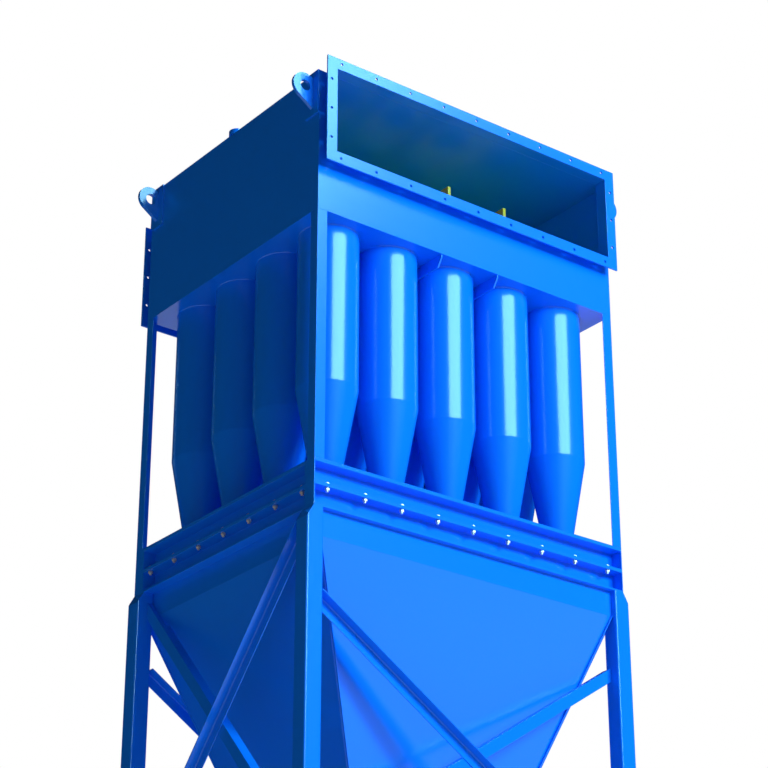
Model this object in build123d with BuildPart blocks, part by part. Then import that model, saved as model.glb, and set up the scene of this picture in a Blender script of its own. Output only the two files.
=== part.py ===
from build123d import *
import math
import os

# Nest of cyclone tubes, seen from above
tubes_along_x = 5
tubes_along_y = 4
tube_pitch = 317.0
tube_diameter = 267.0
tube_wall = 5.0
side_margin = 40.0          # from half a pitch outside the last tube to the side of the box
front_margin = 36.0         # the same at its front and back
box_width = tubes_along_x * tube_pitch + 2 * side_margin
box_depth = tubes_along_y * tube_pitch + 2 * front_margin

# Heights, from the ground up
leg_height = 3750.0
channel_height = 100.0
cone_plate_thickness = 8.0
tube_bay_height = 1142.0
box_height = 687.0
frame_bottom = leg_height
frame_joint = frame_bottom + channel_height
cone_plate_bottom = frame_joint + channel_height
cone_plate_top = cone_plate_bottom + cone_plate_thickness
box_bottom = cone_plate_top + tube_bay_height
roof_top = box_bottom + box_height

# Plates of the box
panel_thickness = 6.0
roof_thickness = 6.0
tube_sheet_thickness = 8.0
upper_sheet_thickness = 6.0
weld_gap = 0.3              # clearance left between a round piece and the hole that it passes
sheet_top = box_bottom + tube_sheet_thickness
roof_bottom = roof_top - roof_thickness

# Gas ducts and their flanges
duct_flange_width = 54.0
duct_flange_thickness = 8.0
duct_wall = 5.0
duct_reach = 60.0           # from the box to the sealing face of the flange
duct_opening_height = 414.0
duct_opening_width = box_width - 2 * duct_flange_width
outlet_opening_top = roof_bottom
outlet_opening_bottom = outlet_opening_top - duct_opening_height
inlet_opening_bottom = box_bottom + duct_flange_width
inlet_opening_top = inlet_opening_bottom + duct_opening_height
flange_hole_diameter = 14.0
flange_edge_distance = 24.0
flange_holes_across = 9
flange_end_distance = 75.5  # from the side of the flange to the first hole of its long rows
flange_hole_span = box_width - 2 * flange_end_distance
flange_side_holes = 3
flange_side_pitch = 146.0

# Cyclone cones and outlet tubes
cylinder_above_plate = 412.0
cylinder_bottom = cone_plate_top + cylinder_above_plate
cone_end_diameter = 98.0
cone_below_plate = 48.0
cone_bottom = cone_plate_bottom - cone_below_plate
outlet_tube_diameter = 159.0
outlet_tube_wall = 4.5
outlet_tube_dip = 180.0     # below the tube sheet
outlet_tube_lip = 20.0      # above the upper tube sheet
sheet_seam = 12.0           # from a duct opening to the edge of the upper tube sheet

# Stiffening ribs
rib_thickness = 8.0
rib_height = 55.0
rib_chamfer_down = 42.0
rib_chamfer_back = 28.0
upper_rib_thickness = 16.0
upper_rib_height = 60.0

# Frames between the tubes and the hopper
channel_flange_depth = 60.0
channel_flange_thickness = 8.0
channel_web_thickness = 6.0

# Corner posts, rolled angles
post_leg_x = 50.0
post_leg_y = 50.0
post_thickness = 5.0

# Legs, square tubes
leg_side = 80.0
leg_wall = 5.0
leg_outset = 30.0           # past the side face of the box
leg_corner_radius = 8.0
leg_top_chamfer = 53.0
base_plate_side = 200.0
base_plate_thickness = 16.0
anchor_hole_diameter = 22.0
anchor_spacing = 140.0
leg_outer_x = box_width / 2 + leg_outset
leg_centre_x = leg_outer_x - leg_side / 2
leg_centre_y = box_depth / 2 - leg_side / 2
leg_inner_x = leg_outer_x - leg_side
leg_inner_y = box_depth / 2 - leg_side

# Hopper
skirt_setback = 30.0        # behind the edge of the frame on the front and back
skirt_height = 112.0
hopper_wall = 5.0
hopper_side_lap = 12.0      # of its left and right plates past the front and back ones
hopper_height = 1465.0
dust_opening = 400.0
dust_flange_width = 60.0
dust_flange_thickness = 10.0
dust_hole_diameter = 14.0
dust_hole_pitch = 150.0
skirt_half_x = leg_inner_x
skirt_half_y = box_depth / 2 - skirt_setback
skirt_bottom = frame_bottom - skirt_height
hopper_bottom = skirt_bottom - hopper_height

# Bracing, rolled angles that cross back to back
brace_leg = 50.0
brace_thickness = 5.0
front_brace_drop = 373.0    # from the frames down to the upper end of each tier
side_brace_drop = 85.0
upper_tier_drop = 1400.0
lower_tier_drop = 1520.0
lower_braces_bottom = 880.0
front_brace_top = frame_bottom - front_brace_drop
side_brace_top = frame_bottom - side_brace_drop
upper_braces_bottom = frame_bottom - upper_tier_drop
lower_braces_top = frame_bottom - lower_tier_drop
brace_cope_gap = 2.0        # the free leg is cut back to this distance from what it would meet
brace_cope_height = 60.0    # and this far below it

# Lifting lugs
lug_thickness = 16.0
lug_radius = 62.0
lug_eye_diameter = 52.0
lug_reach = 47.0            # from the side of the box to the centre of the eye
lug_eye_drop = 77.0         # under the roof
lug_tail = 103.0            # foot of the lug below the eye
lug_shoulder = 48.0         # top of the lug's root above the eye
doubler_width = 95.0
doubler_height = 215.0
doubler_thickness = 8.0
doubler_chamfer = 16.0

# Socket on the roof
socket_diameter = 60.0
socket_height = 110.0
socket_cap_diameter = 76.0
socket_cap_height = 26.0
socket_x = -725.0
socket_y = 130.0

os.makedirs("parts", exist_ok=True)


def save(piece, name):
    piece.part.label = name
    export_step(piece.part, f"parts/{name}.step")


def tube_places():
    return GridLocations(tube_pitch, tube_pitch, tubes_along_x, tubes_along_y)


def row_places(row):
    y = (row - (tubes_along_y - 1) / 2) * tube_pitch
    return [((column - (tubes_along_x - 1) / 2) * tube_pitch, y) for column in range(tubes_along_x)]


def sheet_height(y):
    """Underside of the inclined upper tube sheet above the ground."""
    low_y = -box_depth / 2 + panel_thickness
    high_y = -low_y
    low = outlet_opening_bottom - sheet_seam - upper_sheet_thickness
    high = inlet_opening_top + sheet_seam
    return low + (high - low) * (y - low_y) / (high_y - low_y)


def cone_diameter(z):
    """Outside diameter of a cyclone cone at a height."""
    share = (cylinder_bottom - z) / (cylinder_bottom - cone_bottom)
    return tube_diameter - (tube_diameter - cone_end_diameter) * share


# Front and back panels
def duct_panel(y, opening_bottom, opening_top):
    middle = (opening_bottom + opening_top) / 2
    with BuildPart() as panel:
        with BuildSketch(Plane.XZ.offset(-y)):
            with Locations((0, (sheet_top + roof_bottom) / 2)):
                Rectangle(box_width, roof_bottom - sheet_top)
            with Locations((0, middle)):
                Rectangle(duct_opening_width, opening_top - opening_bottom, mode=Mode.SUBTRACT)
        extrude(amount=panel_thickness / 2, both=True)
    return panel


panel_middle_y = (box_depth - panel_thickness) / 2
front_panel = duct_panel(-panel_middle_y, outlet_opening_bottom, outlet_opening_top)
save(front_panel, "front_panel")
back_panel = duct_panel(panel_middle_y, inlet_opening_bottom, inlet_opening_top)
save(back_panel, "back_panel")

# Side panels
for side, name in ((-1, "left_panel"), (1, "right_panel")):
    with BuildPart() as side_panel:
        with BuildSketch(Plane.XY.offset(sheet_top)):
            with Locations((side * (box_width - panel_thickness) / 2, 0)):
                Rectangle(panel_thickness, box_depth - 2 * panel_thickness)
        extrude(amount=roof_bottom - sheet_top)
    save(side_panel, name)

# Roof
with BuildPart() as roof_plate:
    with BuildSketch(Plane.XY.offset(roof_bottom)):
        Rectangle(box_width, box_depth)
    extrude(amount=roof_thickness)
save(roof_plate, "roof_plate")

# Lower tube sheet
with BuildPart() as tube_sheet:
    with BuildSketch(Plane.XY.offset(box_bottom)):
        Rectangle(box_width, box_depth)
        with tube_places():
            Circle(tube_diameter / 2 + weld_gap, mode=Mode.SUBTRACT)
    extrude(amount=tube_sheet_thickness)
save(tube_sheet, "tube_sheet")

# Inclined upper tube sheet
with BuildPart() as upper_tube_sheet:
    inside_x = box_width - 2 * panel_thickness
    inside_y = box_depth / 2 - panel_thickness
    with BuildSketch(Plane.YZ):
        with BuildLine():
            Polyline(
                (-inside_y, sheet_height(-inside_y)),
                (inside_y, sheet_height(inside_y)),
                (inside_y, sheet_height(inside_y) + upper_sheet_thickness),
                (-inside_y, sheet_height(-inside_y) + upper_sheet_thickness),
                close=True,
            )
        make_face()
    extrude(amount=inside_x / 2, both=True)
    with BuildSketch(Plane.XY.offset(sheet_top)):
        with tube_places():
            Circle(outlet_tube_diameter / 2 + weld_gap)
    extrude(amount=box_height, mode=Mode.SUBTRACT)
save(upper_tube_sheet, "upper_tube_sheet")


# Duct collars and flanges
def duct_collar(side, opening_bottom, opening_top):
    middle = (opening_bottom + opening_top) / 2
    height = opening_top - opening_bottom
    length = duct_reach - duct_flange_thickness
    with BuildPart() as collar:
        with BuildSketch(Plane.XZ.offset(-side * (box_depth + length) / 2)):
            with Locations((0, middle)):
                Rectangle(duct_opening_width + 2 * duct_wall, height + 2 * duct_wall)
                Rectangle(duct_opening_width, height, mode=Mode.SUBTRACT)
        extrude(amount=length / 2, both=True)
    return collar


def duct_flange(side, opening_bottom, opening_top):
    middle = (opening_bottom + opening_top) / 2
    height = opening_top - opening_bottom
    face_y = box_depth / 2 + duct_reach - duct_flange_thickness / 2
    row_offset = height / 2 + duct_flange_width - flange_edge_distance
    column_offset = box_width / 2 - flange_edge_distance
    with BuildPart() as flange:
        with BuildSketch(Plane.XZ.offset(-side * face_y)):
            with Locations((0, middle)):
                Rectangle(box_width, height + 2 * duct_flange_width)
                Rectangle(duct_opening_width, height, mode=Mode.SUBTRACT)
                with GridLocations(flange_hole_span / (flange_holes_across - 1), 2 * row_offset,
                                   flange_holes_across, 2):
                    Circle(flange_hole_diameter / 2, mode=Mode.SUBTRACT)
                with GridLocations(2 * column_offset, flange_side_pitch, 2, flange_side_holes):
                    Circle(flange_hole_diameter / 2, mode=Mode.SUBTRACT)
        extrude(amount=duct_flange_thickness / 2, both=True)
    return flange


ducts = (
    ("outlet", -1, outlet_opening_bottom, outlet_opening_top),
    ("inlet", 1, inlet_opening_bottom, inlet_opening_top),
)
for name, side, opening_bottom, opening_top in ducts:
    save(duct_collar(side, opening_bottom, opening_top), name + "_duct")
    save(duct_flange(side, opening_bottom, opening_top), name + "_flange")

# Cyclone tubes, a cylinder over a cone, one row of them for each node
with BuildPart() as cyclone:
    with BuildSketch(Plane.XZ):
        with BuildLine():
            Polyline(
                (tube_diameter / 2, sheet_top),
                (tube_diameter / 2, cylinder_bottom),
                (cone_end_diameter / 2, cone_bottom),
                (cone_end_diameter / 2 - tube_wall, cone_bottom),
                (tube_diameter / 2 - tube_wall, cylinder_bottom),
                (tube_diameter / 2 - tube_wall, sheet_top),
                close=True,
            )
        make_face()
    revolve(axis=Axis.Z)
for row in range(tubes_along_y):
    with BuildPart() as cyclone_row:
        with Locations(*row_places(row)):
            add(cyclone.part)
    save(cyclone_row, f"cyclone_row_{row + 1}")

# Outlet tubes that carry clean gas up through both chambers
with BuildPart() as outlet_tubes:
    for row in range(tubes_along_y):
        tube_bottom = box_bottom - outlet_tube_dip
        tube_top = sheet_height(row_places(row)[0][1]) + upper_sheet_thickness + outlet_tube_lip
        with BuildSketch(Plane.XY.offset(tube_bottom)):
            with Locations(*row_places(row)):
                Circle(outlet_tube_diameter / 2)
                Circle(outlet_tube_diameter / 2 - outlet_tube_wall, mode=Mode.SUBTRACT)
        extrude(amount=tube_top - tube_bottom)
save(outlet_tubes, "outlet_tubes")

# Plate that carries the ends of the cones
with BuildPart() as cone_plate:
    with BuildSketch(Plane.XY.offset(cone_plate_bottom)):
        Rectangle(box_width, box_depth)
        with GridLocations(box_width - post_thickness, box_depth - post_leg_y, 2, 2):
            Rectangle(post_thickness, post_leg_y, mode=Mode.SUBTRACT)
    extrude(amount=cone_plate_thickness)
    with Locations((0, 0, (cone_plate_bottom + cone_plate_top) / 2)):
        with tube_places():
            Cone(
                cone_diameter(cone_plate_bottom) / 2 + weld_gap,
                cone_diameter(cone_plate_top) / 2 + weld_gap,
                cone_plate_thickness,
                mode=Mode.SUBTRACT,
            )
save(cone_plate, "cone_plate")


# Two frames of outward channels, bolted flange to flange
def channel_frame(bottom):
    web_x = box_width - 2 * channel_flange_depth
    web_y = box_depth - 2 * channel_flange_depth
    with BuildPart() as frame:
        with BuildSketch(Plane.XY.offset(bottom)):
            Rectangle(box_width, box_depth)
        extrude(amount=channel_height)
        with BuildSketch(Plane.XY.offset(bottom + channel_flange_thickness)):
            Rectangle(box_width, box_depth)
            Rectangle(web_x, web_y, mode=Mode.SUBTRACT)
        extrude(amount=channel_height - 2 * channel_flange_thickness, mode=Mode.SUBTRACT)
        with BuildSketch(Plane.XY.offset(bottom)):
            Rectangle(web_x - 2 * channel_web_thickness, web_y - 2 * channel_web_thickness)
            with GridLocations(box_width - post_thickness, box_depth - post_leg_y, 2, 2):
                Rectangle(post_thickness, post_leg_y)
        extrude(amount=channel_height, mode=Mode.SUBTRACT)
    return frame


save(channel_frame(frame_joint), "cyclone_frame")
save(channel_frame(frame_bottom), "hopper_frame")

# Corner posts: the wide leg runs down over the frames, the narrow one stands on the cone plate
corners = (
    ("front_left", -1, -1),
    ("front_right", 1, -1),
    ("back_left", -1, 1),
    ("back_right", 1, 1),
)
wide_leg_x = (box_width - post_thickness) / 2
narrow_leg_y = (box_depth - post_thickness) / 2
for name, side_x, side_y in corners:
    with BuildPart() as post:
        with BuildSketch(Plane.XY.offset(frame_bottom)):
            with Locations((side_x * wide_leg_x, side_y * (box_depth - post_leg_y) / 2)):
                Rectangle(post_thickness, post_leg_y)
        extrude(amount=box_bottom - frame_bottom)
        with BuildSketch(Plane.XY.offset(cone_plate_top)):
            with Locations((side_x * (box_width - post_leg_x) / 2, side_y * narrow_leg_y)):
                Rectangle(post_leg_x, post_thickness)
        extrude(amount=box_bottom - cone_plate_top)
    save(post, "post_" + name)

# Legs with their base plates
for name, side_x, side_y in corners:
    centre = (side_x * leg_centre_x, side_y * leg_centre_y)
    with BuildPart() as leg:
        with BuildSketch(Plane.XY.offset(base_plate_thickness)):
            with Locations(centre):
                RectangleRounded(leg_side, leg_side, leg_corner_radius)
        extrude(amount=leg_height - base_plate_thickness)
        with BuildSketch(Plane.XZ.offset(-side_y * leg_centre_y)):
            with BuildLine():
                Polyline(
                    (side_x * leg_outer_x, leg_height),
                    (side_x * (leg_outer_x - leg_outset), leg_height),
                    (side_x * leg_outer_x, leg_height - leg_top_chamfer),
                    close=True,
                )
            make_face()
        extrude(amount=leg_side, both=True, mode=Mode.SUBTRACT)
        with BuildSketch(Plane.XZ.offset(-side_y * leg_centre_y)):
            with BuildLine():
                Polyline(
                    (side_x * (leg_inner_x + leg_wall), base_plate_thickness),
                    (side_x * (leg_outer_x - leg_wall), base_plate_thickness),
                    (side_x * (leg_outer_x - leg_wall), leg_height - leg_top_chamfer - leg_wall),
                    (side_x * (leg_outer_x - leg_outset - leg_wall), leg_height - leg_wall),
                    (side_x * (leg_inner_x + leg_wall), leg_height - leg_wall),
                    close=True,
                )
            make_face()
        extrude(amount=leg_side / 2 - leg_wall, both=True, mode=Mode.SUBTRACT)
        with BuildSketch():
            with Locations(centre):
                Rectangle(base_plate_side, base_plate_side)
                with GridLocations(anchor_spacing, anchor_spacing, 2, 2):
                    Circle(anchor_hole_diameter / 2, mode=Mode.SUBTRACT)
        extrude(amount=base_plate_thickness)
    save(leg, "leg_" + name)

# Skirt of the hopper
with BuildPart() as hopper_skirt:
    with BuildSketch(Plane.XY.offset(skirt_bottom)):
        Rectangle(2 * skirt_half_x, 2 * skirt_half_y)
        Rectangle(2 * (skirt_half_x - hopper_wall), 2 * (skirt_half_y - hopper_wall), mode=Mode.SUBTRACT)
    extrude(amount=skirt_height)
save(hopper_skirt, "hopper_skirt")


# Hopper: its front outline crossed with its side outline, less the same for the inside
def hopper_outline(plane, top_half, bottom_half):
    with BuildSketch(plane) as outline:
        with BuildLine():
            Polyline(
                (-top_half, skirt_bottom),
                (top_half, skirt_bottom),
                (bottom_half, hopper_bottom),
                (-bottom_half, hopper_bottom),
                close=True,
            )
        make_face()
    return outline.sketch


def hopper_core(half_x, half_y, bottom_half, lap=0.0):
    with BuildPart() as core:
        extrude(hopper_outline(Plane.XZ, half_x, bottom_half), amount=half_y + lap, both=True)
        extrude(hopper_outline(Plane.YZ, half_y + lap, bottom_half + lap), amount=half_x, both=True,
                mode=Mode.INTERSECT)
    return core


inside_half_x = skirt_half_x - hopper_wall
inside_half_y = skirt_half_y - hopper_wall
hopper_inside = hopper_core(inside_half_x, inside_half_y, dust_opening / 2)
between_sides = hopper_core(inside_half_x, skirt_half_y, dust_opening / 2, 2 * hopper_side_lap)
with BuildPart() as hopper:
    add(hopper_core(skirt_half_x, skirt_half_y, dust_opening / 2 + hopper_wall, hopper_side_lap).part)
    add(between_sides.part, mode=Mode.SUBTRACT)
    add(hopper_core(skirt_half_x, skirt_half_y, dust_opening / 2 + hopper_wall).part)
    add(hopper_inside.part, mode=Mode.SUBTRACT)
save(hopper, "hopper")

# Flange of the dust outlet
with BuildPart() as dust_flange:
    with BuildSketch(Plane.XY.offset(hopper_bottom - dust_flange_thickness)):
        Rectangle(dust_opening + 2 * dust_flange_width, dust_opening + 2 * dust_flange_width)
        Rectangle(dust_opening, dust_opening, mode=Mode.SUBTRACT)
        with GridLocations(dust_opening + dust_flange_width, dust_hole_pitch, 2, 3):
            Circle(dust_hole_diameter / 2, mode=Mode.SUBTRACT)
        with GridLocations(dust_hole_pitch, dust_opening + dust_flange_width, 3, 2):
            Circle(dust_hole_diameter / 2, mode=Mode.SUBTRACT)
    extrude(amount=dust_flange_thickness)
save(dust_flange, "dust_flange")


# Braces
def brace(half_span, top, bottom, falling, outward, distance, turn):
    """An angle from leg to leg on one face of the stand, built on the front and turned to its face.

    falling is 1 where it runs down to the right, and outward 1 where its free leg is on the outside.
    """
    slope = math.degrees(math.atan2(top - bottom, 2 * half_span))
    middle = (top + bottom) / 2
    with BuildPart() as angle:
        with BuildSketch(Plane.YZ):
            with BuildLine():
                Polyline(
                    (0, -brace_leg / 2),
                    (0, brace_leg / 2),
                    (-outward * brace_leg, brace_leg / 2),
                    (-outward * brace_leg, brace_leg / 2 - brace_thickness),
                    (-outward * brace_thickness, brace_leg / 2 - brace_thickness),
                    (-outward * brace_thickness, -brace_leg / 2),
                    close=True,
                )
            make_face()
        extrude(amount=2 * half_span, both=True)
    with BuildPart() as cut_brace:
        add(angle.part, rotation=(0, falling * slope, 0))
        with BuildSketch(Plane.XZ):
            Rectangle(2 * half_span, 2 * (top - bottom))
        extrude(amount=2 * brace_leg, both=True, mode=Mode.INTERSECT)
    return cut_brace.part.moved(Location((0, -distance, middle))).rotate(Axis.Z, turn)


front_brace_distance = box_depth / 2 - brace_leg
front_face = (leg_inner_x, front_brace_top, front_brace_distance)
side_face = (leg_inner_y, side_brace_top, leg_outer_x - brace_leg)
faces = (
    ("front", 0, "falling", front_face),
    ("right", 90, "falling", side_face),
    ("back", 180, "falling", front_face),
    ("left", 270, "rising", side_face),
)
for name, turn, outer, (half_span, top, distance) in faces:
    for direction, falling in (("falling", 1), ("rising", -1)):
        outward = 1 if direction == outer else -1
        with BuildPart() as braces:
            add(brace(half_span, top, upper_braces_bottom, falling, outward, distance, turn))
            add(brace(half_span, lower_braces_top, lower_braces_bottom, falling, outward, distance, turn))
            with BuildSketch(Plane.XY.offset(skirt_bottom - brace_cope_height)):
                Rectangle(2 * (skirt_half_x + brace_cope_gap), 2 * (skirt_half_y + brace_cope_gap))
            extrude(amount=skirt_height + brace_cope_height, mode=Mode.SUBTRACT)
            if name in ("left", "right"):
                with BuildSketch():
                    with GridLocations(0, 2 * front_brace_distance, 1, 2):
                        Rectangle(2 * (leg_inner_x + brace_cope_gap), 2 * (brace_leg + brace_cope_gap))
                extrude(amount=leg_height, mode=Mode.SUBTRACT)
        save(braces, f"{name}_brace_{direction}")

# Stiffening ribs, beside the middle column of tubes
rib_places = (-tube_pitch / 2, tube_pitch / 2)
rib_end = box_depth / 2 - post_thickness
with BuildPart() as tube_sheet_ribs:
    for x in rib_places:
        with BuildSketch(Plane.YZ.offset(x)):
            with BuildLine():
                Polyline(
                    (-rib_end, box_bottom),
                    (-rib_end, box_bottom - rib_height + rib_chamfer_down),
                    (-rib_end + rib_chamfer_back, box_bottom - rib_height),
                    (rib_end - rib_chamfer_back, box_bottom - rib_height),
                    (rib_end, box_bottom - rib_height + rib_chamfer_down),
                    (rib_end, box_bottom),
                    close=True,
                )
            make_face()
        extrude(amount=rib_thickness / 2, both=True)
save(tube_sheet_ribs, "tube_sheet_ribs")

# The same on the inclined sheet, from the back panel to the mouth of the outlet duct
upper_rib_end = box_depth / 2 - panel_thickness
mouth_rib_end = box_depth / 2 + duct_reach - duct_flange_thickness
with BuildPart() as upper_sheet_ribs:
    for x in rib_places:
        front_foot = sheet_height(-upper_rib_end) + upper_sheet_thickness
        back_foot = sheet_height(upper_rib_end) + upper_sheet_thickness
        with BuildSketch(Plane.YZ.offset(x)):
            with BuildLine():
                Polyline(
                    (-mouth_rib_end, outlet_opening_bottom),
                    (-upper_rib_end, outlet_opening_bottom),
                    (-upper_rib_end, front_foot),
                    (upper_rib_end, back_foot),
                    (upper_rib_end, back_foot + upper_rib_height),
                    (-upper_rib_end, front_foot + upper_rib_height),
                    (-mouth_rib_end, front_foot + upper_rib_height),
                    close=True,
                )
            make_face()
        extrude(amount=upper_rib_thickness / 2, both=True)
save(upper_sheet_ribs, "upper_sheet_ribs")

# Lifting lugs on their doubler plates
for name, side_x, side_y in corners:
    plate_y = side_y * (box_depth - doubler_width) / 2
    root_x = box_width / 2 + doubler_thickness
    eye_x = box_width / 2 + lug_reach
    eye_z = roof_top - lug_eye_drop
    with BuildPart() as lug:
        with BuildSketch(Plane.YZ.offset(side_x * box_width / 2)) as doubler:
            with Locations((plate_y, roof_top - doubler_height / 2)):
                Rectangle(doubler_width, doubler_height)
            lower_corners = doubler.vertices().group_by(Axis.Z)[0].sort_by(Axis.Y)
            chamfer(lower_corners[0 if side_y > 0 else -1], doubler_chamfer)
        extrude(amount=side_x * doubler_thickness)
        with BuildSketch(Plane.XZ.offset(-plate_y)):
            with BuildLine():
                CenterArc((side_x * eye_x, eye_z), lug_radius, 0, 360)
                Line((side_x * root_x, eye_z - lug_tail), (side_x * root_x, eye_z + lug_shoulder))
            make_hull()
            with Locations((side_x * (root_x - lug_radius), eye_z)):
                Rectangle(2 * lug_radius, 4 * lug_radius, mode=Mode.SUBTRACT)
            with Locations((side_x * eye_x, eye_z)):
                Circle(lug_eye_diameter / 2, mode=Mode.SUBTRACT)
        extrude(amount=lug_thickness / 2, both=True)
    save(lug, "lifting_lug_" + name)

# Capped socket on the roof
with BuildPart() as roof_socket:
    with BuildSketch(Plane.XY.offset(roof_top)):
        with Locations((socket_x, socket_y)):
            Circle(socket_diameter / 2)
    extrude(amount=socket_height - socket_cap_height)
    with BuildSketch(Plane.XY.offset(roof_top + socket_height - socket_cap_height)):
        with Locations((socket_x, socket_y)):
            Circle(socket_cap_diameter / 2)
    extrude(amount=socket_cap_height)
save(roof_socket, "roof_socket")
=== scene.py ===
import math

import bmesh
import bpy
from mathutils import Matrix, Vector


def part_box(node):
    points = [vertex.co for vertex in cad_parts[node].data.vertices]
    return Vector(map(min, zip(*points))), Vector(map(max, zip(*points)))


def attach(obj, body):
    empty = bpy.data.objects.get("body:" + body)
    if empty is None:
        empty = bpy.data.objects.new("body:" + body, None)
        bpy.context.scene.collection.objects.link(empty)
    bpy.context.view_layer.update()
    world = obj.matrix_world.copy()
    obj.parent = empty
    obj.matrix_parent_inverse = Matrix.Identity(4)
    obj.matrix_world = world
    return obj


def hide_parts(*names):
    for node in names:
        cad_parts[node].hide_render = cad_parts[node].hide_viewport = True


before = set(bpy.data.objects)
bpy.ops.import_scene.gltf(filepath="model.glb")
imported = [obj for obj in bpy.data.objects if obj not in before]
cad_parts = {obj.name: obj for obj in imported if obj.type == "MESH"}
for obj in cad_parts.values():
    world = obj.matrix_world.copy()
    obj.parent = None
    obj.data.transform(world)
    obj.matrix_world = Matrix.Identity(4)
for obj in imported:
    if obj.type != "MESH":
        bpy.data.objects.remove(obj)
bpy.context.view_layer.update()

bl_info = {
    "name": "Cyclone Separator Dress",
    "version": (1, 0, 0),
    "blender": (4, 5, 0),
    "location": "3D View > Sidebar > Separator",
    "description": "Paints, welds and bolts a multi-tube cyclone separator and sets up its studio",
    "category": "Object",
}

CORNERS = ("front_left", "front_right", "back_left", "back_right")
FACES = ("front", "right", "back", "left")
FRAMES = ("cyclone_frame", "hopper_frame")
ROWS = 4
COLUMNS = 5

# Corners nearer than this are one
MERGE = 0.00002

# A tube's corners lie this near its radius
RIM_SLACK = 0.0003

# Decimals that are kept of a distance in metres
DECIMALS = 5

# Angles between two faces: in one plane, more than flat, a tube's knee, an edge
SAME_PLANE = math.radians(0.5)
FLAT = math.radians(1)
KNEE_SHARP = math.radians(8)
SHARP = math.radians(28)

# The runs of rolled sections and of beads are longer than this
LONG_EDGE = 0.2

# How much large faces rule the shading
FACE_WEIGHT = 100

# The web ends reach over the webs and stand proud of them, so that no two faces coincide
WEB_LAP = 0.004
WEB_PROUD = 0.0002

# Nuts and studs: sides, the turn of a nut, and the chamfer as a share of the height
NUT_SIDES = 6
NUT_TURN = math.radians(16)
STUD_SIDES = 16
CHAMFER = 0.12

# Weld beads: sides, the distance between cuts, and a fillet's outline in widths of the weld
BEAD_SIDES = 6
BEAD_STEP = 2.5
RING_SIDES = 64
RING_WIDTH = 0.6
RING_OUTLINE = ((-0.2, 0), (1, 0), (0.45, -0.6), (-0.2, -1))

# Sizes read from the frame
row_low, row_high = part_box("cyclone_row_1")
TUBE_DIAMETER = row_high.y - row_low.y
TUBE_PITCH = (row_high.x - row_low.x - TUBE_DIAMETER) / (COLUMNS - 1)
TUBE_TOP = row_high.z
CONE_BOTTOM = row_low.z
SHEET_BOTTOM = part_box("tube_sheet")[0].z
JOINT_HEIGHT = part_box("cyclone_frame")[0].z
SKIRT_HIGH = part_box("hopper_skirt")[1]
HOPPER_LOW, HOPPER_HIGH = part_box("hopper")

# The stage: the floor, the corners of the light panel across and up, the dark dome and the camera
FLOOR_RADIUS = 80.0
FLOOR_SIDES = 96
FLOOR_COLOR = (0.8, 0.8, 0.8, 1)
FLOOR_GLOW = 0.95
FLOOR_GLOW_SHARE = 0.7
PANEL_OUTLINE = ((-6.8, 8.4), (3.2, 8.4), (17.7, 24.9), (-6.8, 24.9))
DOME_PLACE = (22.6, -22.6, 0)
DOME_RADIUS = 40.0
DOME_SIDES = 64
DOME_BOTTOM = 0.02
DOME_COLOR = (0.006, 0.02, 0.035, 1)
WHITE = (1, 1, 1, 1)
SENSOR_WIDTH = 36.0
CLIP_END = 200.0

# The finishes by their short names, filled by the first operator
materials = {}


class Num:
    """A shader socket that adds its Math node when it is used in an expression."""

    def __init__(self, nodes, socket):
        self.nodes = nodes
        self.socket = socket

    def math(self, operation, first, second):
        return self.nodes.node("ShaderNodeMath", {"operation": operation}, {0: first, 1: second})

    def __add__(self, other):
        return self.math("ADD", self, other)

    def __radd__(self, other):
        return self.math("ADD", other, self)

    def __mul__(self, other):
        return self.math("MULTIPLY", self, other)

    def __rmul__(self, other):
        return self.math("MULTIPLY", other, self)

    def larger(self, other):
        return self.math("MAXIMUM", self, other)


class Nodes:
    """A tree of shader nodes and the one way in which they are made."""

    def __init__(self, tree):
        self.tree = tree
        self.tree.nodes.clear()

    def node(self, kind, options=None, sockets=None, output=0):
        """Adds a node, sets its options, then gives its sockets their values or links."""
        made = self.tree.nodes.new(kind)
        for key, value in (options or {}).items():
            setattr(made, key, value)
        for key, value in (sockets or {}).items():
            if isinstance(value, Num):
                self.tree.links.new(value.socket, made.inputs[key])
            else:
                made.inputs[key].default_value = value
        return Num(self, made.outputs[output] if made.outputs else None)

    def seen(self):
        """1 for what the camera sees straight, in a mirror or through glass, and 0 for the light."""
        straight = self.node("ShaderNodeLightPath", output="Is Camera Ray")
        mirrored = self.node("ShaderNodeLightPath", output="Is Glossy Ray")
        through = self.node("ShaderNodeLightPath", output="Is Transmission Ray")
        return straight.larger(mirrored).larger(through)


class Finish(Nodes):
    """One procedural material."""

    def __init__(self, name):
        self.material = bpy.data.materials.new(name)
        self.material.use_nodes = True
        super().__init__(self.material.node_tree)

    def noise(self, scale, detail):
        place = self.node("ShaderNodeTexCoord", output="Object")
        return self.node("ShaderNodeTexNoise", {}, {"Vector": place, "Scale": scale, "Detail": detail}, "Fac")

    def mix(self, factor, first, second):
        return self.node("ShaderNodeMix", {"data_type": "RGBA"}, {0: factor, 6: first, 7: second}, 2)

    def bump(self, height, strength, distance):
        return self.node("ShaderNodeBump", {}, {"Height": height, "Strength": strength, "Distance": distance})

    def glow(self, color, strength):
        return self.node("ShaderNodeEmission", {}, {"Color": color, "Strength": strength})

    def surface(self, **sockets):
        """Ends the material in a Principled shader with these sockets."""
        named = {key.replace("_", " "): value for key, value in sockets.items()}
        return self.show(self.node("ShaderNodeBsdfPrincipled", {}, named))

    def show(self, shader):
        self.node("ShaderNodeOutputMaterial", {}, {"Surface": shader})
        return self.material


def shade(color, factor):
    """A colour made darker or lighter by one factor, with its alpha kept."""
    return tuple(min(1.0, part * factor) for part in color[:3]) + (1.0,)


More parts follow.
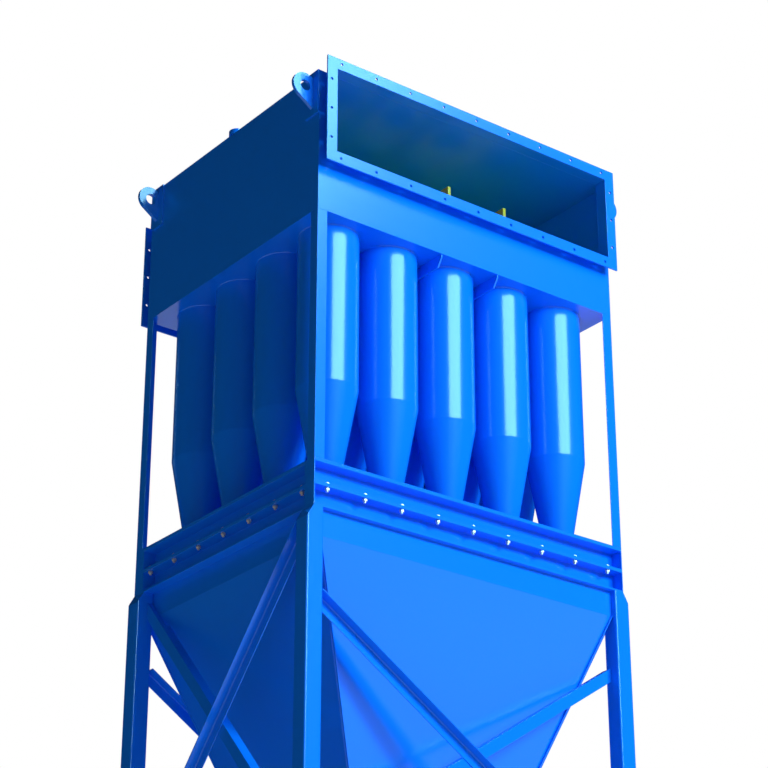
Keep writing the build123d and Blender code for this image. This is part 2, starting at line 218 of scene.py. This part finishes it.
def paint(name, color, roughness):
    """Sprayed enamel over welded plate: faint clouds of colour and sheen, and a fine orange peel."""
    finish = Finish(name)
    clouds = finish.noise(scale=1.7, detail=3.0)
    mottle = finish.noise(scale=26.0, detail=2.0)
    peel = finish.noise(scale=420.0, detail=1.0)
    waves = finish.noise(scale=9.0, detail=1.0)
    cover = clouds * 0.7 + mottle * 0.3
    return finish.surface(
        Base_Color=finish.mix(cover, shade(color, 0.96), shade(color, 1.04)),
        Roughness=roughness - 0.015 + mottle * 0.03,
        Normal=finish.bump(peel * 0.25 + waves, strength=0.05, distance=0.0005),
    )


def zinc(name, color):
    """Pale zinc plate on the bolts, a little cloudy."""
    finish = Finish(name)
    spangle = finish.noise(scale=160.0, detail=2.0)
    grain = finish.noise(scale=900.0, detail=1.0)
    return finish.surface(
        Base_Color=finish.mix(spangle, shade(color, 0.82), color),
        Metallic=0.6,
        Roughness=0.28 + spangle * 0.14,
        Normal=finish.bump(grain, strength=0.05, distance=0.0002),
    )


def color_property(name, description, default):
    return bpy.props.FloatVectorProperty(
        name=name, description=description, default=default, size=4, min=0, max=1, subtype="COLOR"
    )


def vector_property(name, description, default, subtype):
    return bpy.props.FloatVectorProperty(name=name, description=description, default=default, subtype=subtype)


def length_property(name, description, default):
    return bpy.props.FloatProperty(name=name, description=description, default=default, min=0, unit="LENGTH")


def angle_property(name, description, default):
    return bpy.props.FloatProperty(name=name, description=description, default=default, subtype="ANGLE")


def amount_property(name, description, default):
    return bpy.props.FloatProperty(name=name, description=description, default=default, min=0)


def count_property(name, description, default, least=1):
    return bpy.props.IntProperty(name=name, description=description, default=default, min=least)


class SeparatorPaint(bpy.types.PropertyGroup):
    """Colours and gloss of the finishes"""

    blue: color_property("Blue", "Enamel of the plant", (0.004, 0.243, 0.98, 1))
    yellow: color_property("Yellow", "Enamel of the inner ribs", (0.80, 0.50, 0.03, 1))
    sheet: color_property("Sheet", "Enamel of the inclined sheet under the ribs", (0.90, 1.0, 0.04, 1))
    zinc: color_property("Zinc", "Plating of the bolts", (0.86, 0.74, 0.64, 1))
    roughness: bpy.props.FloatProperty(
        name="Roughness", description="Blur of the enamel's reflections", default=0.19, min=0, max=1
    )


class SeparatorShape(bpy.types.PropertyGroup):
    """Rounded edges, and the walls of the tubes"""

    plate_edge: length_property("Plate edge", "Rounding of sheared plate", 0.0012)
    section_edge: length_property("Section edge", "Rounding of rolled sections", 0.0022)
    section_root: length_property("Section root", "Radius in the inner corners of rolled sections", 0.0055)
    seam_edge: length_property("Seam edge", "Rounding of plate beside a ground seam", 0.0004)
    tube_wall: length_property("Tube wall", "Thickness of the cyclone tubes", 0.005)
    outlet_diameter: length_property("Outlet tube", "Outside diameter of the outlet tubes", 0.159)
    outlet_wall: length_property("Outlet tube wall", "Thickness of the outlet tubes", 0.0045)
    outlet_lip: length_property("Outlet tube lip", "Height of the outlet tubes above the sheet", 0.020)
    segments: count_property("Segments", "Facets round a tube", 96, 24)


class SeparatorFixings(bpy.types.PropertyGroup):
    """Studs, nuts and welds"""

    bolt: length_property("Bolt", "Diameter of the frame bolts", 0.012)
    nut_width: length_property("Nut", "Width across the flats of a nut", 0.019)
    thin_nut: length_property("Thin nut", "Height of the thin nut above the flanges", 0.005)
    nut_height: length_property("Nut height", "Height of the nut below the flanges", 0.0105)
    thread: length_property("Thread", "Length of thread that stands out of a full nut", 0.007)
    stud_end: length_property("Stud end", "Length of thread that stands out of a thin nut", 0.0038)
    inset: length_property("Inset", "From the edge of the frames to the bolts", 0.0155)
    pitch: length_property("Pitch", "Distance between bolts", 0.18925)
    front_count: count_property("Front bolts", "Bolts on the front", 9)
    side_count: count_property("Side bolts", "Bolts on a side", 7)
    weld: length_property("Weld", "Width of a fillet weld", 0.005)


class SeparatorStage(bpy.types.PropertyGroup):
    """Camera, lights and the light panel"""

    camera_place: vector_property("Camera", "Place of the camera", (-5.836, -7.661, 0.204), "TRANSLATION")
    camera_target: vector_property("Target", "What the camera faces", (0.0313, 0, 4.7775), "TRANSLATION")
    lens: amount_property("Lens", "Focal length in millimetres", 109.7)
    key_way: vector_property("Key way", "Way of the key light", (-0.3346, 0.8716, -0.3584), "DIRECTION")
    key_strength: amount_property("Key", "Strength of the key light", 0.9)
    key_softness: angle_property("Softness", "Angle that the key light fills", math.radians(8))
    fill_way: vector_property("Fill way", "Way of the light behind", (-0.55, -0.70, -0.45), "DIRECTION")
    fill_strength: amount_property("Fill", "Strength of the light behind", 1.1)
    fill_softness: angle_property("Fill softness", "Angle that the light behind fills", math.radians(25))
    front_place: vector_property("Front place", "Place of the broad light", (2, -9, 6.2), "TRANSLATION")
    front_target: vector_property("Front target", "What the broad light faces", (0, 0, 5), "TRANSLATION")
    front_width: length_property("Front width", "Width of the broad light in front", 6.0)
    front_height: length_property("Front height", "Height of the broad light in front", 2.0)
    front_power: bpy.props.FloatProperty(
        name="Front fill", description="Power of the broad light in front", default=980.0, min=0, unit="POWER"
    )
    front_color: vector_property("Front colour", "Colour of the broad light", (0.12, 0.60, 1.0), "COLOR")
    ambient: amount_property("Ambient", "Strength of the room's light", 0.05)
    panel_strength: amount_property("Panel", "Strength of the light panel", 14.2)
    panel_color: color_property("Panel colour", "Colour of the light panel", (0.44, 1.0, 1.0, 1))
    panel_distance: length_property("Panel distance", "From the plant's middle to the light panel", 18.1)


def settings(group):
    return getattr(bpy.context.scene, "separator_" + group)


def finished(name, bm, material, sharp=SHARP):
    """Turns a bmesh into a piece that rides on the plant, smooth up to an angle."""
    for face in bm.faces:
        face.smooth = True
    for edge in bm.edges:
        edge.smooth = edge.calc_face_angle(0) < sharp
    mesh = bpy.data.meshes.new(name)
    bm.to_mesh(mesh)
    bm.free()
    mesh.materials.append(materials[material])
    piece = bpy.data.objects.new(name, mesh)
    bpy.context.scene.collection.objects.link(piece)
    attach(piece, "root")
    return piece


def curved(vertex):
    """Whether a vertex lies on the wall of a drilled hole or on a rounded corner."""
    return any(FLAT < edge.calc_face_angle(0) < SHARP for edge in vertex.link_edges)


def eased(node, material, width, segments=2, root=0.0):
    """Stands for a CAD node with its own shape, its merged faces and rounded straight edges.

    A root is the radius in the inner corners of a rolled section, where it is larger than the width.
    """
    bm = bmesh.new()
    bm.from_mesh(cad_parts[node].data)
    bmesh.ops.remove_doubles(bm, verts=bm.verts, dist=MERGE)
    bmesh.ops.dissolve_limit(bm, angle_limit=SAME_PLANE, verts=bm.verts, edges=bm.edges)
    weight = bm.edges.layers.float.new("bevel_weight_edge")
    for edge in bm.edges:
        if edge.calc_face_angle(0) > SHARP and not all(curved(vertex) for vertex in edge.verts):
            inner = root and edge.calc_face_angle_signed() < 0 and edge.calc_length() > LONG_EDGE
            edge[weight] = 1.0 if inner or not root else width / root
    piece = finished(node + "_painted", bm, material)
    for edge, share in zip(piece.data.edges, piece.data.attributes["bevel_weight_edge"].data):
        if share.value > 0:
            edge.use_edge_sharp = False
    bevel = piece.modifiers.new("Edges", "BEVEL")
    bevel.limit_method = "WEIGHT"
    bevel.width = max(width, root)
    bevel.segments = segments
    bevel.use_clamp_overlap = True
    level = piece.modifiers.new("Flat faces", "WEIGHTED_NORMAL")
    level.weight = FACE_WEIGHT
    level.keep_sharp = True
    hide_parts(node)


def corners_of(node):
    return [vertex.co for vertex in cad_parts[node].data.vertices]


def levels(node, axis):
    """The separate distances from the middle or the ground at which a node has corners."""
    return sorted({round(abs(corner[axis]), DECIMALS) for corner in corners_of(node)})


def edges_at(verts):
    """The edges that meet at some vertices, each once and in a fixed order."""
    return list(dict.fromkeys(edge for vertex in verts for edge in vertex.link_edges))


def spaced(count, pitch):
    """Places at one pitch, with their middle at 0."""
    return [(index - (count - 1) / 2) * pitch for index in range(count)]


def four_plates(bm, low, high):
    """Adds one plate at each corner of the plant, from its low and high corner where x and y are positive."""
    middle = (low + high) / 2
    size = Matrix.Diagonal(high - low).to_4x4()
    for side_x in (-1, 1):
        for side_y in (-1, 1):
            place = Matrix.Translation((side_x * middle.x, side_y * middle.y, middle.z))
            bmesh.ops.create_cube(bm, size=1.0, matrix=place @ size)


def spun(bm, outline, x, y, segments):
    """Adds a closed outline of (radius, height) points, spun about a vertical axis."""
    corners = [bm.verts.new((x + radius, y, height)) for radius, height in outline]
    sides = [bm.edges.new(pair) for pair in zip(corners, corners[1:] + corners[:1])]
    bmesh.ops.spin(
        bm, geom=corners + sides, cent=(x, y, 0), axis=(0, 0, 1), angle=math.tau, steps=segments,
        use_merge=True,
    )


def bead(bm, start, end, width):
    """Adds a round weld bead along a straight seam, cut across so that its triangles stay short."""
    way = end - start
    turn = way.to_track_quat("Z", "Y").to_matrix().to_4x4()
    made = bmesh.ops.create_cone(
        bm, cap_ends=True, segments=BEAD_SIDES, radius1=width / 2, radius2=width / 2, depth=way.length,
        matrix=Matrix.Translation((start + end) / 2) @ turn,
    )
    runs = [edge for edge in edges_at(made["verts"]) if edge.calc_length() > LONG_EDGE]
    bmesh.ops.subdivide_edges(bm, edges=runs, cuts=int(way.length / (width * BEAD_STEP)))


def ring_bead(bm, x, y, height, radius, width):
    """Adds a fillet weld round a tube, just under a plate."""
    outline = [(radius + width * out, height + width * up) for out, up in RING_OUTLINE]
    spun(bm, outline, x, y, RING_SIDES)


def row_axis(row):
    """How far back a row of tubes stands."""
    low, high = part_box(f"cyclone_row_{row + 1}")
    return (low.y + high.y) / 2


def tube_axes(row):
    """Where the tubes of a row stand, from left to right."""
    y = row_axis(row)
    return [(x, y) for x in spaced(COLUMNS, TUBE_PITCH)]


class SEPARATOR_OT_finishes(bpy.types.Operator):
    """Makes the paints and the plating"""

    bl_idname = "separator.finishes"
    bl_label = "Finishes"

    def execute(self, context):
        look = settings("paint")
        materials["blue"] = paint("blue enamel", look.blue, look.roughness)
        materials["yellow"] = paint("yellow enamel", look.yellow, look.roughness)
        materials["sheet"] = paint("sheet enamel", look.sheet, look.roughness)
        materials["zinc"] = zinc("zinc plating", look.zinc)
        return {"FINISHED"}


class SEPARATOR_OT_casing(bpy.types.Operator):
    """Dresses the casing: its plates, tube sheets, ribs, roof socket and lugs"""

    bl_idname = "separator.casing"
    bl_label = "Casing"

    def execute(self, context):
        shape = settings("shape")
        for node in ("front_panel", "back_panel", "left_panel", "right_panel", "tube_sheet"):
            eased(node, "blue", shape.seam_edge)
        eased("roof_plate", "blue", shape.plate_edge)
        eased("tube_sheet_ribs", "blue", shape.plate_edge)
        eased("upper_tube_sheet", "sheet", shape.plate_edge)
        eased("upper_sheet_ribs", "yellow", shape.plate_edge)
        eased("roof_socket", "blue", shape.plate_edge)
        for corner in CORNERS:
            eased("lifting_lug_" + corner, "blue", shape.plate_edge)
        return {"FINISHED"}


class SEPARATOR_OT_ducts(bpy.types.Operator):
    """Dresses the two gas ducts and their drilled flanges"""

    bl_idname = "separator.ducts"
    bl_label = "Ducts"

    def execute(self, context):
        edge = settings("shape").plate_edge
        for duct in ("outlet", "inlet"):
            eased(duct + "_duct", "blue", edge)
            eased(duct + "_flange", "blue", edge)
        return {"FINISHED"}


class SEPARATOR_OT_tubes(bpy.types.Operator):
    """Turns the cyclone tubes and the outlet tubes anew, with finer facets"""

    bl_idname = "separator.tubes"
    bl_label = "Tubes"

    def execute(self, context):
        shape = settings("shape")
        outline = self.cyclone_outline(shape.tube_wall)
        for row in range(ROWS):
            bm = bmesh.new()
            for x, y in tube_axes(row):
                spun(bm, outline, x, y, shape.segments)
            bmesh.ops.recalc_face_normals(bm, faces=bm.faces)
            piece = finished(f"cyclones_{row + 1}", bm, "blue", KNEE_SHARP)
            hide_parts(f"cyclone_row_{row + 1}")
        bm = bmesh.new()
        for row in range(ROWS):
            outline = self.outlet_outline(shape, row_axis(row))
            for x, y in tube_axes(row):
                spun(bm, outline, x, y, shape.segments // 2)
        bmesh.ops.recalc_face_normals(bm, faces=bm.faces)
        piece = finished("gas_tubes", bm, "blue")
        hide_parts("outlet_tubes")
        return {"FINISHED"}

    def cyclone_outline(self, wall):
        """The outline of one tube's wall, a cylinder over a cone."""
        radius = TUBE_DIAMETER / 2
        knee = self.knee_height()
        cone_radius = self.cone_radius()
        return [
            (radius, TUBE_TOP),
            (radius, knee),
            (cone_radius, CONE_BOTTOM),
            (cone_radius - wall, CONE_BOTTOM),
            (radius - wall, knee),
            (radius - wall, TUBE_TOP),
        ]

    def outlet_outline(self, shape, y):
        """The outline of an outlet tube's wall, with its rim chamfered above the inclined sheet."""
        radius = shape.outlet_diameter / 2
        inner = radius - shape.outlet_wall
        rim = shape.outlet_wall / 4
        top = self.sheet_top(y) + shape.outlet_lip
        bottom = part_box("outlet_tubes")[0].z
        return [
            (radius - rim, top),
            (radius, top - rim),
            (radius, bottom),
            (inner, bottom),
            (inner, top - rim),
            (inner + rim, top),
        ]

    def middle_tube(self):
        """Distance from the axis and height of each corner of the middle tube in the first row."""
        axis = row_axis(0)
        corners = [corner for corner in corners_of("cyclone_row_1") if abs(corner.x) < TUBE_PITCH / 2]
        return [(math.hypot(corner.x, corner.y - axis), corner.z) for corner in corners]

    def cone_radius(self):
        """Half the width of a cone's open end."""
        return max(radius for radius, height in self.middle_tube() if height < CONE_BOTTOM + MERGE)

    def knee_height(self):
        """Where the cylinder ends: the lowest corner that is as wide as the tube."""
        least = TUBE_DIAMETER / 2 - RIM_SLACK
        return min(height for radius, height in self.middle_tube() if radius > least)

    def sheet_top(self, y):
        """Top of the inclined sheet at a distance from the middle."""
        low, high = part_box("upper_tube_sheet")
        front = max(corner.z for corner in corners_of("upper_tube_sheet") if corner.y < low.y + MERGE)
        return front + (high.z - front) * (y - low.y) / (high.y - low.y)


class SEPARATOR_OT_frames(bpy.types.Operator):
    """Dresses the cone plate, the two channel frames and the corner posts"""

    bl_idname = "separator.frames"
    bl_label = "Frames"

    def execute(self, context):
        shape = settings("shape")
        eased("cone_plate", "blue", shape.plate_edge)
        for node in FRAMES:
            eased(node, "blue", shape.section_edge)
        for corner in CORNERS:
            eased("post_" + corner, "blue", shape.plate_edge)
        bm = bmesh.new()
        for node in FRAMES:
            self.add_web_ends(bm, node)
        finished("web_ends", bm, "blue")
        return {"FINISHED"}

    def add_web_ends(self, bm, node):
        """Carries the webs of the front and back channels on to the corner posts, with a ground joint."""
        across, deep, up = (levels(node, axis) for axis in range(3))
        web_end = across[1]
        side = across[-1]
        web_inside = deep[0]
        web_outside = deep[1]
        bottom = up[1]
        top = up[-2]
        post_inside = levels("post_back_right", 0)[-2]
        post_edge = levels("post_back_right", 1)[0]
        web_low = Vector((web_end - WEB_LAP, web_inside, bottom))
        web_high = Vector((side, web_outside + WEB_PROUD, top))
        closer_low = Vector((post_inside, web_outside, bottom))
        closer_high = Vector((side, post_edge, top))
        four_plates(bm, web_low, web_high)
        four_plates(bm, closer_low, closer_high)


class SEPARATOR_OT_hopper(bpy.types.Operator):
    """Dresses the skirt, the hopper and the dust flange"""

    bl_idname = "separator.hopper"
    bl_label = "Hopper"

    def execute(self, context):
        shape = settings("shape")
        eased("hopper_skirt", "blue", shape.seam_edge)
        eased("hopper", "blue", shape.seam_edge)
        eased("dust_flange", "blue", shape.plate_edge)
        return {"FINISHED"}


class SEPARATOR_OT_stand(bpy.types.Operator):
    """Dresses the legs and the crossed braces"""

    bl_idname = "separator.stand"
    bl_label = "Stand"

    def execute(self, context):
        shape = settings("shape")
        for corner in CORNERS:
            eased("leg_" + corner, "blue", shape.plate_edge)
        for face in FACES:
            for way in ("falling", "rising"):
                node = f"{face}_brace_{way}"
                eased(node, "blue", shape.plate_edge, segments=3, root=shape.section_root)
        return {"FINISHED"}


class SEPARATOR_OT_bolts(bpy.types.Operator):
    """Bolts the two channel frames together with studs and nuts"""

    bl_idname = "separator.bolts"
    bl_label = "Bolts"

    def execute(self, context):
        fixing = settings("fixings")
        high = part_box("hopper_frame")[1]
        front_y = high.y - fixing.inset
        side_x = high.x - fixing.inset
        bm = bmesh.new()
        for x in spaced(fixing.front_count, fixing.pitch):
            for y in (-front_y, front_y):
                self.add_bolt(bm, fixing, x, y)
        for y in spaced(fixing.side_count, fixing.pitch):
            for x in (-side_x, side_x):
                self.add_bolt(bm, fixing, x, y)
        finished("frame_bolts", bm, "zinc")
        return {"FINISHED"}

    def flange_thickness(self):
        """Thickness of a channel's flange, from the heights of the frame's corners."""
        heights = levels("hopper_frame", 2)
        return heights[1] - heights[0]

    def add_bolt(self, bm, fixing, x, y):
        """One stud through both flanges, with a thin nut on its upper end and a full nut on its lower one."""
        nut = fixing.nut_width / math.sqrt(3)
        thread = fixing.bolt / 2
        flange = self.flange_thickness()
        top = JOINT_HEIGHT + flange
        thin_nut_top = top + fixing.thin_nut
        bottom = JOINT_HEIGHT - flange
        nut_bottom = bottom - fixing.nut_height
        self.disc(bm, x, y, nut, top, thin_nut_top, NUT_SIDES, NUT_TURN)
        self.disc(bm, x, y, thread, thin_nut_top, thin_nut_top + fixing.stud_end, STUD_SIDES)
        self.disc(bm, x, y, nut, nut_bottom, bottom, NUT_SIDES, NUT_TURN)
        self.disc(bm, x, y, thread, nut_bottom - fixing.thread, nut_bottom, STUD_SIDES)

    def disc(self, bm, x, y, radius, bottom, top, sides, turn=0):
        """A short prism with its rims chamfered."""
        height = top - bottom
        place = Matrix.Translation((x, y, (bottom + top) / 2)) @ Matrix.Rotation(turn, 4, "Z")
        made = bmesh.ops.create_cone(
            bm, cap_ends=True, segments=sides, radius1=radius, radius2=radius, depth=height, matrix=place
        )
        rims = [edge for edge in edges_at(made["verts"])
                if abs(edge.verts[0].co.z - edge.verts[1].co.z) < MERGE]
        bmesh.ops.bevel(
            bm, geom=rims, offset=height * CHAMFER, affect="EDGES", segments=1, profile=0.5, material=-1
        )


class SEPARATOR_OT_welds(bpy.types.Operator):
    """Lays the weld beads round the tubes and down the hopper's corners"""

    bl_idname = "separator.welds"
    bl_label = "Welds"

    def execute(self, context):
        width = settings("fixings").weld
        bm = bmesh.new()
        for row in range(ROWS):
            for x, y in tube_axes(row):
                ring_bead(bm, x, y, SHEET_BOTTOM, TUBE_DIAMETER / 2, width * RING_WIDTH)
        bmesh.ops.recalc_face_normals(bm, faces=bm.faces)
        finished("tube_welds", bm, "blue")
        mouth = self.mouth_half()
        bm = bmesh.new()
        for side_x in (-1, 1):
            for side_y in (-1, 1):
                top = Vector((side_x * HOPPER_HIGH.x, side_y * SKIRT_HIGH.y, HOPPER_HIGH.z))
                low = Vector((side_x * mouth, side_y * mouth, HOPPER_LOW.z))
                bead(bm, top, low, width)
        bmesh.ops.recalc_face_normals(bm, faces=bm.faces)
        finished("hopper_welds", bm, "blue")
        return {"FINISHED"}

    def mouth_half(self):
        """Half the width of the hopper's lower mouth."""
        return max(corner.x for corner in corners_of("hopper") if corner.z < HOPPER_LOW.z + MERGE)


class SEPARATOR_OT_stage(bpy.types.Operator):
    """Sets up the floor, the lights, the room and the camera"""

    bl_idname = "separator.stage"
    bl_label = "Stage"

    def execute(self, context):
        stage = settings("stage")
        context.scene.view_settings.view_transform = "Standard"
        self.floor()
        self.light_panel(stage)
        self.dark_room()
        self.sun("key light", stage.key_way, stage.key_strength, stage.key_softness)
        self.front_light(stage)
        self.sun("back fill", stage.fill_way, stage.fill_strength, stage.fill_softness)
        self.room(stage)
        self.camera(stage)
        return {"FINISHED"}

    def scenery(self, name, bm, material):
        """Turns a bmesh into an object of the stage."""
        mesh = bpy.data.meshes.new(name)
        bm.to_mesh(mesh)
        bm.free()
        mesh.materials.append(material)
        thing = bpy.data.objects.new(name, mesh)
        bpy.context.scene.collection.objects.link(thing)
        return thing

    def only_reflected(self, thing):
        thing.visible_camera = False
        thing.visible_diffuse = False
        thing.visible_shadow = False
        thing.visible_transmission = False

    def aimed(self, name, data, way):
        """Adds a lamp or a camera that looks along a way."""
        holder = bpy.data.objects.new(name, data)
        holder.rotation_euler = Vector(way).to_track_quat("-Z", "Y").to_euler()
        bpy.context.scene.collection.objects.link(holder)
        return holder

    def floor(self):
        """A wide round floor, whose glow only the camera, mirrors and glass see."""
        finish = Finish("pale floor")
        cloth = finish.node("ShaderNodeBsdfDiffuse", {}, {"Color": FLOOR_COLOR})
        white = finish.glow(WHITE, FLOOR_GLOW)
        share = finish.seen() * FLOOR_GLOW_SHARE
        finish.show(finish.node("ShaderNodeMixShader", {}, {0: share, 1: cloth, 2: white}))
        bm = bmesh.new()
        bmesh.ops.create_circle(bm, cap_ends=True, segments=FLOOR_SIDES, radius=FLOOR_RADIUS)
        self.scenery("floor", bm, finish.material)

    def light_panel(self, stage):
        """A wide panel high in front, whose right side leans out; it only shows as a reflection."""
        finish = Finish("light panel")
        finish.show(finish.glow(tuple(stage.panel_color), stage.panel_strength))
        bm = bmesh.new()
        bm.faces.new([bm.verts.new((x, -stage.panel_distance, z)) for x, z in PANEL_OUTLINE])
        self.only_reflected(self.scenery("light panel", bm, finish.material))

    def dark_room(self):
        """A dark dome that only reflections see, near at the back left and far at the front right."""
        finish = Finish("unlit walls")
        finish.show(finish.glow(DOME_COLOR, 1.0))
        bm = bmesh.new()
        place = Matrix.Translation(DOME_PLACE)
        bmesh.ops.create_uvsphere(
            bm, u_segments=DOME_SIDES, v_segments=DOME_SIDES // 2, radius=DOME_RADIUS, matrix=place
        )
        bmesh.ops.bisect_plane(
            bm, geom=bm.verts[:] + bm.edges[:] + bm.faces[:], plane_co=(0, 0, DOME_BOTTOM),
            plane_no=(0, 0, 1), clear_inner=True,
        )
        self.only_reflected(self.scenery("unlit walls", bm, finish.material))

    def sun(self, name, way, strength, softness):
        """A distant lamp without a reflection of its own."""
        lamp = bpy.data.lights.new(name, "SUN")
        lamp.energy = strength
        lamp.angle = softness
        holder = self.aimed(name, lamp, way)
        holder.visible_glossy = False

    def front_light(self, stage):
        """A broad blue light in front, which opens the shade under the flanges."""
        lamp = bpy.data.lights.new("front light", "AREA")
        lamp.shape = "RECTANGLE"
        lamp.size = stage.front_width
        lamp.size_y = stage.front_height
        lamp.energy = stage.front_power
        lamp.color = stage.front_color
        place = Vector(stage.front_place)
        holder = self.aimed("front light", lamp, Vector(stage.front_target) - place)
        holder.location = place
        holder.visible_glossy = False
        holder.visible_camera = False

    def room(self, stage):
        """White to the camera, mirrors and glass, and a dim even light to everything else."""
        world = bpy.data.worlds.new("pale room")
        bpy.context.scene.world = world
        world.use_nodes = True
        nodes = Nodes(world.node_tree)
        strength = stage.ambient + nodes.seen() * (1 - stage.ambient)
        light = nodes.node("ShaderNodeBackground", {}, {"Color": WHITE, "Strength": strength})
        nodes.node("ShaderNodeOutputWorld", {}, {"Surface": light})

    def camera(self, stage):
        """The camera at the photograph's viewing angle."""
        lens = bpy.data.cameras.new("photo camera")
        lens.lens = stage.lens
        lens.sensor_width = SENSOR_WIDTH
        lens.clip_end = CLIP_END
        place = Vector(stage.camera_place)
        holder = self.aimed("photo camera", lens, Vector(stage.camera_target) - place)
        holder.location = place
        bpy.context.scene.camera = holder


STEPS = (
    SEPARATOR_OT_finishes,
    SEPARATOR_OT_casing,
    SEPARATOR_OT_ducts,
    SEPARATOR_OT_tubes,
    SEPARATOR_OT_frames,
    SEPARATOR_OT_hopper,
    SEPARATOR_OT_stand,
    SEPARATOR_OT_bolts,
    SEPARATOR_OT_welds,
    SEPARATOR_OT_stage,
)
GROUPS = (
    ("paint", SeparatorPaint),
    ("shape", SeparatorShape),
    ("fixings", SeparatorFixings),
    ("stage", SeparatorStage),
)


class SEPARATOR_PT_panel(bpy.types.Panel):
    """Lists the steps and their sizes"""

    bl_idname = "SEPARATOR_PT_panel"
    bl_label = "Cyclone Separator"
    bl_space_type = "VIEW_3D"
    bl_region_type = "UI"
    bl_category = "Separator"

    def draw(self, context):
        for group, kind in GROUPS:
            box = self.layout.box()
            box.label(text=group.title())
            for name in kind.__annotations__:
                box.prop(settings(group), name)
        for step in STEPS:
            self.layout.operator(step.bl_idname)


def register():
    for group, kind in GROUPS:
        bpy.utils.register_class(kind)
        setattr(bpy.types.Scene, "separator_" + group, bpy.props.PointerProperty(type=kind))
    for step in STEPS:
        bpy.utils.register_class(step)
    bpy.utils.register_class(SEPARATOR_PT_panel)


def unregister():
    bpy.utils.unregister_class(SEPARATOR_PT_panel)
    for step in reversed(STEPS):
        bpy.utils.unregister_class(step)
    for group, kind in reversed(GROUPS):
        delattr(bpy.types.Scene, "separator_" + group)
        bpy.utils.unregister_class(kind)


def main():
    register()
    for step in STEPS:
        family, action = step.bl_idname.split(".")
        getattr(getattr(bpy.ops, family), action)()


if __name__ == "__main__":
    main()
